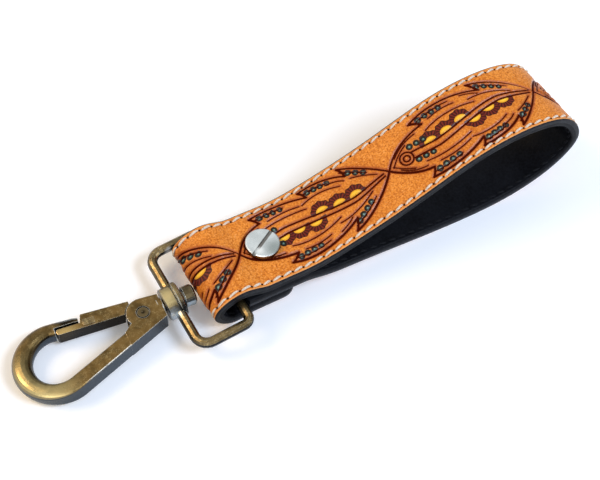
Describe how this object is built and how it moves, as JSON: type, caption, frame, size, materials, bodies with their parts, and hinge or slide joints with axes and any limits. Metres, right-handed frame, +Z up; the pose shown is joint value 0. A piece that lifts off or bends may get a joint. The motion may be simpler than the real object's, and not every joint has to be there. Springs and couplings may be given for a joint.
{
  "type": "leather keychain",
  "caption": "Key fob of folded two-ply leather with a slotted strap screw, on a swivel snap hook with a rectangular ring.",
  "frame": {"origin": "on the table under the strap screw, at the middle of the flat lower head of the screw's post", "axes": "+Z up from the table, +X along the strap from the snap hook to the loop's end, +Y across the strap towards the gate's side of the hook"},
  "size_m": [0.1731, 0.0352, 0.0319],
  "materials": {
    "tan_leather": "semi-matt tooled",
    "black_leather": "semi-matt",
    "nickel": "worn polish",
    "antique_brass": "antiqued cast",
    "dark_brass": "antiqued turned",
    "spring_steel": "drawn wire"
  },
  "bodies": {
    "strap": {"strap_outer": "tan_leather", "strap_lining": "black_leather", "screw_post": "nickel", "strap_screw": "nickel"},
    "ring": {"swivel_ring": "antique_brass"},
    "hook": {"hook_body": "antique_brass", "swivel_stud": "dark_brass", "gate_rivet": "dark_brass", "gate_spring": "spring_steel"},
    "gate": {"gate": "antique_brass"}
  },
  "joints": [
    {"name": "ring_tilt", "type": "hinge", "parent": "strap", "child": "ring", "pos_m": [-0.01294, -0.00182, 0.00724], "axis": [0.0244, 0.9997, 0], "range_deg": [-100, 130]},
    {"name": "hook_swivel", "type": "hinge", "parent": "ring", "child": "hook", "pos_m": [-0.02795, -0.00145, 0.0049], "axis": [0.9964, -0.0679, 0.0499], "continuous": true},
    {"name": "gate_pivot", "type": "hinge", "parent": "hook", "child": "gate", "pos_m": [-0.03677, -0.00205, 0.00446], "axis": [-0.0498, 0.0034, 0.9988], "range_deg": [0, 26], "stiffness_Nm_per_rad": 0.03, "springref_deg": -20.05}
  ]
}
